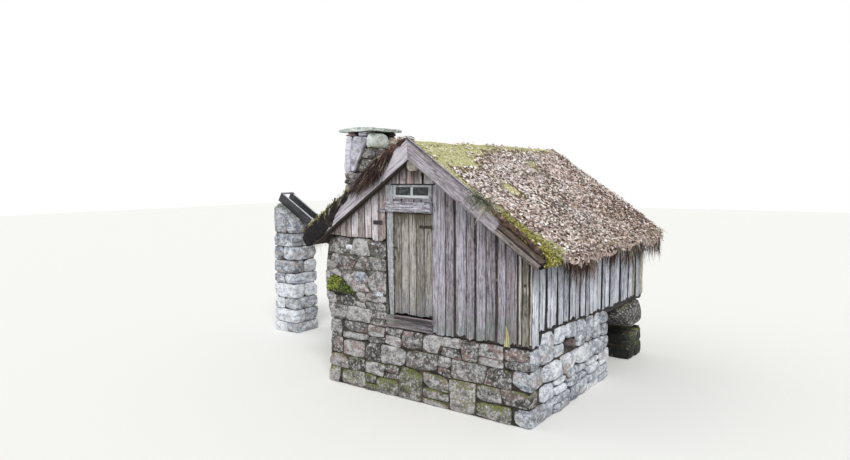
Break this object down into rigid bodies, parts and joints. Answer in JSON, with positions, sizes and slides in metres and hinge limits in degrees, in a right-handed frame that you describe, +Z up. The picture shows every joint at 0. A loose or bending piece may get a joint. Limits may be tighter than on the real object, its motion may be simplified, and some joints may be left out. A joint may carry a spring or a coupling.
{
  "type": "small turf-roofed watermill",
  "caption": "Small plank-and-rubble watermill with a turf roof, stone chimney, hung plank door, tailrace opening and a sloping wooden head flume.",
  "frame": {"origin": "on the sole of the front foundation, under the ridge, at the middle of that wall's thickness", "axes": "+X to the right as seen from the door gable, +Y from the door gable to the back, +Z up"},
  "size_m": [7.8545, 5.066, 4.32],
  "materials": {
    "weathered_board": "matt weathered",
    "silver_board": "matt weathered",
    "hewn_timber": "matt",
    "wet_board": "wet dark",
    "rubble_stone": "rough",
    "cut_stone": "rough",
    "turf": "loose leaves and moss",
    "old_iron": "rusted",
    "old_glass": "dusty"
  },
  "bodies": {
    "house": {"back_boards": "weathered_board", "barge_caps": "weathered_board", "barge_front_left": "weathered_board", "barge_front_right": "weathered_board", "barges_back": "weathered_board", "chimney_base": "rubble_stone", "chimney_corner_stones": "rubble_stone", "chimney_slab": "cut_stone", "chimney_stack": "rubble_stone", "corner_stone": "cut_stone", "door_jamb": "silver_board", "door_pintle": "old_iron", "floor_boards": "hewn_timber", "floor_joists": "hewn_timber", "flume_floor": "wet_board", "flume_pier": "rubble_stone", "flume_sides": "wet_board", "foundation_back": "rubble_stone", "foundation_front": "rubble_stone", "foundation_left": "rubble_stone", "foundation_right": "rubble_stone", "front_boards_left": "weathered_board", "front_boards_right": "weathered_board", "gable_beams": "hewn_timber", "gable_boards": "weathered_board", "gable_studs": "hewn_timber", "lintel_board": "weathered_board", "over_door_boards": "weathered_board", "purlins": "hewn_timber", "ridge_log": "hewn_timber", "right_boards": "silver_board", "roof_boards_left": "hewn_timber", "roof_boards_right": "hewn_timber", "sill_frame": "hewn_timber", "stone_wall_front": "rubble_stone", "stone_wall_side": "rubble_stone", "threshold": "weathered_board", "turf_left": "turf", "turf_logs": "hewn_timber", "turf_right": "turf", "wall_plates": "hewn_timber", "wall_posts": "hewn_timber", "window_frame": "silver_board", "window_glass": "old_glass"},
    "door": {"door_leaf": "weathered_board", "door_ledges": "weathered_board", "door_irons": "old_iron"}
  },
  "joints": [
    {"name": "door_hinge", "type": "hinge", "parent": "house", "child": "door", "pos_m": [0.318, -0.361, 2.15], "axis": [0, 0, 1], "range_deg": [0, 105]}
  ]
}
